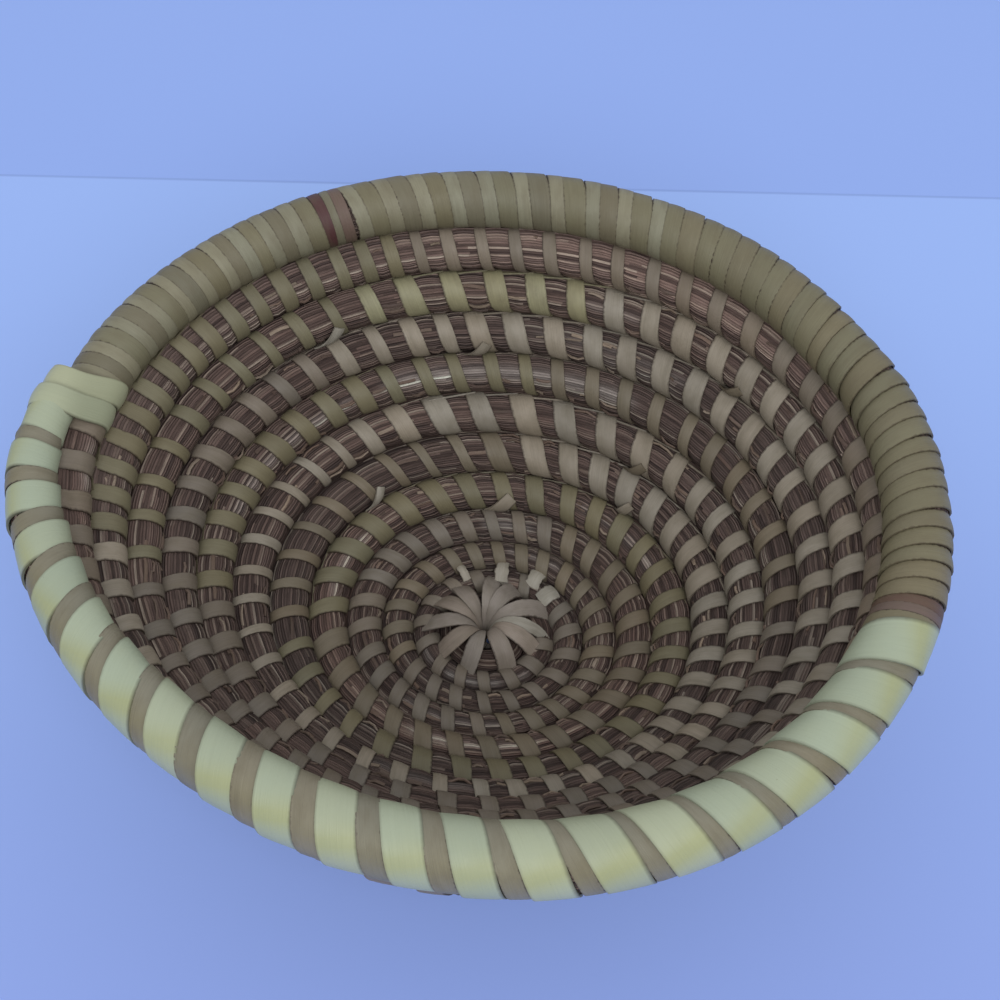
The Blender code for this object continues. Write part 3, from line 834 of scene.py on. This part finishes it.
# The front wraps: their turns, pitch in millimetres, rhythm of widths and unevenness, the pale strip's share
# of each pair and the pairs' slant in millimetres at some turns, and how far the pale strip stands out.
FRONT_FIRST, FRONT_LAST = 12.277, 12.7415
FRONT_PITCH = 12.4
FRONT_RHYTHM = (1.04,) * 15 + (1.0, 0.97, 0.94, 0.90, 0.86, 0.84)
FRONT_UNEVEN = 0.04
PALE_SHARES = ((12.28, 0.76), (12.40, 0.70), (12.46, 0.62), (12.56, 0.60), (12.68, 0.66), (12.715, 0.67),
               (12.722, 0.97))
FRONT_SLANT = ((12.28, 1.0), (12.41, 0.9), (12.45, 0.0), (12.55, 0.2), (12.60, 2.2), (12.65, 0.8),
               (12.68, -1.8), (12.74, -4.0))
PALE_LIFT = 0.00010


def add_rim():
    """Close wraps over the back, then a wide pale and a narrow tan strip together over the front."""
    lasts = [run[1] for run in CLOSE_WRAPS[1:]] + [FRONT_FIRST]
    for (name, first, pitch, rhythm, uneven, tones, slant, tilt, crown), last in zip(CLOSE_WRAPS, lasts):
        rounds = wrap_places(first, last, pitch, rhythm, uneven)
        wrap_run("close_wraps_" + name, "rim_wrap_" + name, rounds, 0, 1, tones, LEAF_WRAP, slant, tilt, crown)
    pairs = wrap_places(FRONT_FIRST, FRONT_LAST, FRONT_PITCH, FRONT_RHYTHM, FRONT_UNEVEN)
    wrap_run("front_wraps_pale", "rim_wrap_pale", pairs, 0, PALE_SHARES, (PALE,), LEAF_FRESH, FRONT_SLANT,
             0.16, 0.20, PALE_LIFT, PALE_BAND)
    wrap_run("front_wraps_tan", "rim_wrap_tan", pairs, PALE_SHARES, 1, (FRONT_TAN,), LEAF_WRAP, FRONT_SLANT,
             0.10, 0.12, band=TAN_BAND)


# The binding's wraps: turns of the rim's tail and of the rim's start that each holds together, and its slack
# on the tail.
BINDING_WRAPS = ((12.7380, 11.7475, 0.0014), (12.7475, 11.7590, 0.0009))
BINDING_SLACK = 0.0008
BINDING_WIDTH = 0.0060
BINDING_ROWS = 61
BINDING_PASSES = 16


def add_binding():
    """Two wide pale wraps, drawn tight round both the rim's tapered tail and the rim's start below it."""
    ribbons = Ribbons()
    for tail, start, slack in BINDING_WRAPS:
        centre, across, inward = (read(table, start) for table in (CENTRES, ACROSS, INWARD))
        offset = read(CENTRES, tail) - centre
        circles = ((0, 0, grass_radius(start) + LEAF + BINDING_SLACK),
                   (offset @ across, offset @ inward, grass_radius(tail) + LEAF + slack))
        outline = []
        for angle in np.radians(np.linspace(-100, 260, 73)):
            heading = np.array((math.cos(angle), math.sin(angle)))
            x, y, radius = max(circles, key=lambda circle: heading @ circle[:2] + circle[2])
            outline.append((x + radius * heading[0], y + radius * heading[1]))
        outline = np.array(outline)
        run = np.append(0, np.cumsum(np.linalg.norm(np.diff(outline, axis=0), axis=1)))
        even = np.linspace(0, run[-1], BINDING_ROWS)
        x, y = (np.interp(even, run, outline[:, axis])[:, None] for axis in (0, 1))
        ahead = offset - (offset @ across) * across - (offset @ inward) * inward
        points = centre + x * across + y * inward + ahead * ramp(0.2 + 0.6 * x / (offset @ across))
        for _ in range(BINDING_PASSES):
            points[1:-1] = (points[:-2] + 2 * points[1:-1] + points[2:]) / 4
        along = unit(np.gradient(points, axis=0))
        out = unit(np.cross(along, np.cross(across, inward)))
        width = np.full(BINDING_ROWS, BINDING_WIDTH)
        ribbons.add(points, np.cross(out, along), out, width, varied(BINDING, 0.05), 0.0004)
    ribbons.finish("binding", LEAF_FRESH, "rim_binding")


# The petals' middle above the floor lies a little off the coil's own.
ROSETTE_MIDDLE = np.array((0.0001, 0.0025, 0.0))

# Petals seen from above: direction in degrees, reach and width in millimetres. The last is a pale, thin one.
PETALS = ((15, 18.0, 4.8), (49, 14.8, 4.8), (78, 15.6, 4.4), (118, 14.8, 5.0), (146, 15.8, 5.2),
          (178, 17.4, 5.0), (213, 15.2, 5.4), (247, 14.6, 5.0), (294, 14.4, 5.0), (327, 16.8, 4.4),
          (349, 17.6, 3.4))
PETAL_START = 0.0011
PETAL_ROWS = 17

# A petal's height at some shares of its reach, inside the bowl and under its base, in millimetres.
PETAL_HEIGHTS = ((0, 1.6), (0.05, 5.2), (0.12, 8.0), (0.22, 9.8), (0.36, 10.6), (0.54, 10.4), (0.74, 8.8),
                 (0.90, 6.4), (1.0, 4.4))
BACK_HEIGHTS = ((0, 2.0), (0.2, 0.6), (0.5, 0.6), (0.85, 0.7), (1.0, 1.4))

# Widths in millimetres at some shares of the reach, of the pale petal and of the others, whose outer ones
# follow their own width.
WIDTH_AT = (0, 0.10, 0.30, 0.55, 0.85, 1.0)
PALE_WIDTHS = (0.6, 1.6, 3.0, 3.4, 2.6, 0.6)
INNER_WIDTHS = (1.2, 2.4)
OUTER_WIDTH_SHARES = (0.78, 0.96, 1.0, 0.94)

# Whitish torn ends beside the petals: place in millimetres, direction in degrees, length and width.
TORN_ENDS = ((-5.7, 18.1, 118, 5.0, 2.4), (4.8, 18.4, 82, 6.0, 3.6), (13.9, 16.2, 60, 5.6, 4.2),
             (17.0, 11.0, 35, 5.0, 4.6))
TORN_HEIGHT = 0.0070


def petal_line(direction, reach, heights, centre):
    """A petal's middle line from the hole outwards, over these heights."""
    shares = np.linspace(0, 1, PETAL_ROWS)
    radius = PETAL_START + (reach * MM - PETAL_START) * shares
    turn = math.radians(direction) + 0.06 * np.sin(shares * math.pi)
    return np.column_stack((radius * np.cos(turn), radius * np.sin(turn), at(heights, shares) * MM)) + centre


def add_rosette():
    """Petals from the centre hole over the first rounds, fanned above and flat below, and torn ends."""
    ribbons = Ribbons()
    shares = np.linspace(0, 1, PETAL_ROWS)
    for number, (direction, reach, width) in enumerate(PETALS):
        pale = number == len(PETALS) - 1
        tone = varied(WHITE if pale else ROSETTE, 0.07)
        widths = PALE_WIDTHS if pale else (*INNER_WIDTHS, *(share * width for share in OUTER_WIDTH_SHARES))
        widths = np.interp(shares, WIDTH_AT, widths) * MM
        middle = petal_line(direction + rng.uniform(-2, 2), reach, PETAL_HEIGHTS, ROSETTE_MIDDLE)
        side, out = lying(middle)
        ribbons.add(middle, side, out, widths, tone, 0.00030, tilt=0.0005)
        middle = petal_line(direction + rng.uniform(-2, 2), reach, BACK_HEIGHTS, MIDDLE)
        side, out = lying(middle)
        ribbons.add(middle, -side, -out, widths, tone, 0.00030)
    add_torn_ends(ribbons)
    ribbons.finish("rosette", LEAF_DRY, "centre_rosette")


def add_torn_ends(ribbons):
    """Short pale ends that stand up beside the petals."""
    shares = np.linspace(0, 1, 9)
    height = TORN_HEIGHT + 0.0012 * np.sin(shares * math.pi)
    for x, y, direction, run, width in TORN_ENDS:
        away = run * (0.5 - shares)
        turn = math.radians(direction)
        middle = np.column_stack(((x + away * math.cos(turn)) * MM, (y + away * math.sin(turn)) * MM, height))
        side, out = lying(middle)
        torn = width * MM * (1 + rng.uniform(-0.10, 0.10, 9))
        ribbons.add(middle, side, out, torn, varied(WHITE, 0.1), 0.0005)


# The floor: its half-width, its colours near the camera, far from it and behind the seam, the colour of its
# clouds and of the seam, between which places it changes, and where the seam lies. Darker near the camera is
# painted shade.
FLOOR_SIZE = 6.0
FLOOR_NEAR_SHADED = (0.268, 0.368, 0.810, 1)
FLOOR_FAR_LIT = (0.330, 0.490, 0.950, 1)
FLOOR_BACK = (0.290, 0.430, 0.890, 1)
FLOOR_CLOUD = (0.265, 0.365, 0.800, 1)
FLOOR_SEAM = (0.150, 0.220, 0.520, 1)
NEAR_AT, FAR_AT = -0.16, 0.12
SEAM_AT, SEAM_SLANT = 0.1661, 0.035


def add_floor():
    """Plain pale paper, a little darker in front by painted shade, with a thin seam behind the basket as in
    the photo.
    """
    mesh = bpy.data.meshes.new("floor")
    corners = [(x * FLOOR_SIZE, y * FLOOR_SIZE, 0) for x, y in ((-1, -1), (1, -1), (1, 1), (-1, 1))]
    mesh.from_pydata(corners, [], [(0, 1, 2, 3)])
    floor = bpy.data.objects.new("floor", mesh)
    bpy.context.scene.collection.objects.link(floor)
    nodes = Nodes("floor_paper")
    spot = nodes.add("ShaderNodeTexCoord").outputs["Object"]
    split = nodes.add("ShaderNodeSeparateXYZ", {"Vector": spot})
    sideways, back = split.outputs[0], split.outputs[1]
    # Painted shade: the paper darkens from far to near.
    colour = nodes.blend(nodes.spread(back, NEAR_AT, FAR_AT), FLOOR_NEAR_SHADED, FLOOR_FAR_LIT)
    cloud = nodes.noise(spot, 3.0, 2)
    colour = nodes.blend(nodes.spread(cloud, 0.35, 0.65, 0.0, 0.12), colour, FLOOR_CLOUD)
    line = nodes.plus(back, nodes.times(sideways, SEAM_SLANT))
    colour = nodes.blend(nodes.spread(line, SEAM_AT - 0.0001, SEAM_AT + 0.0002), colour, FLOOR_BACK)
    seam = nodes.math("ABSOLUTE", nodes.math("SUBTRACT", line, SEAM_AT))
    colour = nodes.blend(nodes.spread(seam, 0.0002, 0.0007, 0.35, 0.0), colour, FLOOR_SEAM)
    nodes.surface(Base_Color=colour, Roughness=0.8)
    floor.data.materials.append(nodes.material)


# One large soft lamp above and before the basket, aimed at its middle, and an even white world.
KEY_PLACE = (0.15, -1.20, 1.60)
KEY_SIZE = 1.5
KEY_POWER = 18.2
KEY_TARGET = (0, 0, 0.03)
WORLD_STRENGTH = 0.70


def add_light():
    world = bpy.data.worlds.new("soft_studio")
    world.use_nodes = True
    background = world.node_tree.nodes["Background"]
    background.inputs["Color"].default_value = (1.0, 1.0, 1.0, 1)
    background.inputs["Strength"].default_value = WORLD_STRENGTH
    bpy.context.scene.world = world
    lamp = bpy.data.lights.new("key", "AREA")
    lamp.shape = "DISK"
    lamp.size = KEY_SIZE
    lamp.energy = KEY_POWER
    made = bpy.data.objects.new("key", lamp)
    made.location = KEY_PLACE
    made.rotation_euler = (Vector(KEY_TARGET) - Vector(KEY_PLACE)).to_track_quat("-Z", "Y").to_euler()
    bpy.context.scene.collection.objects.link(made)


# The camera: its distance from the middle of the base in pitches of the coil, its height above the floor as
# seen from there, how far it looks above that place and to its side, its roll, and its lens as a share of the
# sensor. Angles are radians.
CAMERA_PITCHES = 35.026
CAMERA_RAISED, CAMERA_TILT, CAMERA_YAW, CAMERA_ROLL = 1.104, -0.091, 0.013, 0.007
SENSOR = 36
LENS_SHARE = 1.509


def add_camera():
    """The photo's view, found by fitting a camera to the rounds of the basket."""
    start = np.array((MIDDLE[0], MIDDLE[1], BASE_HEIGHT))
    back = np.array((0, -math.cos(CAMERA_RAISED), math.sin(CAMERA_RAISED)))
    spot = start + CAMERA_PITCHES * COIL_PITCH * back
    down = CAMERA_RAISED + CAMERA_TILT
    level = np.array((math.sin(CAMERA_YAW), math.cos(CAMERA_YAW), 0))
    ahead = math.cos(down) * level - math.sin(down) * np.array((0, 0, 1))
    right = unit(np.cross(ahead, (0, 0, 1)))
    up = np.cross(right, ahead)
    turned = math.cos(CAMERA_ROLL), math.sin(CAMERA_ROLL)
    right, up = turned[0] * right + turned[1] * up, turned[0] * up - turned[1] * right
    camera = bpy.data.cameras.new("camera")
    camera.sensor_width = SENSOR
    camera.lens = SENSOR * LENS_SHARE
    made = bpy.data.objects.new("camera", camera)
    rows = [(*row, value) for row, value in zip(np.column_stack((right, up, -ahead)), spot)]
    made.matrix_world = Matrix(rows + [(0, 0, 0, 1)])
    bpy.context.scene.collection.objects.link(made)
    bpy.context.scene.camera = made


# The bundle's stretches: name, first and last turn, and the length of a step.
add_grass("grass_base", 0.0, 5.0, 0.0013)
add_grass("grass_wall", 5.0, 8.6, 0.0013)
add_grass("grass_wall_top", 8.6, RIM_TURN + 0.03, 0.0014)
add_grass("grass_rim", RIM_TURN + 0.03, LAST_TURN, 0.0020)
add_loose_straws()
add_stitches()
add_frayed_ends()
add_rim()
add_binding()
add_rosette()
add_floor()
add_light()
add_camera()
bpy.context.scene.view_settings.view_transform = "Standard"
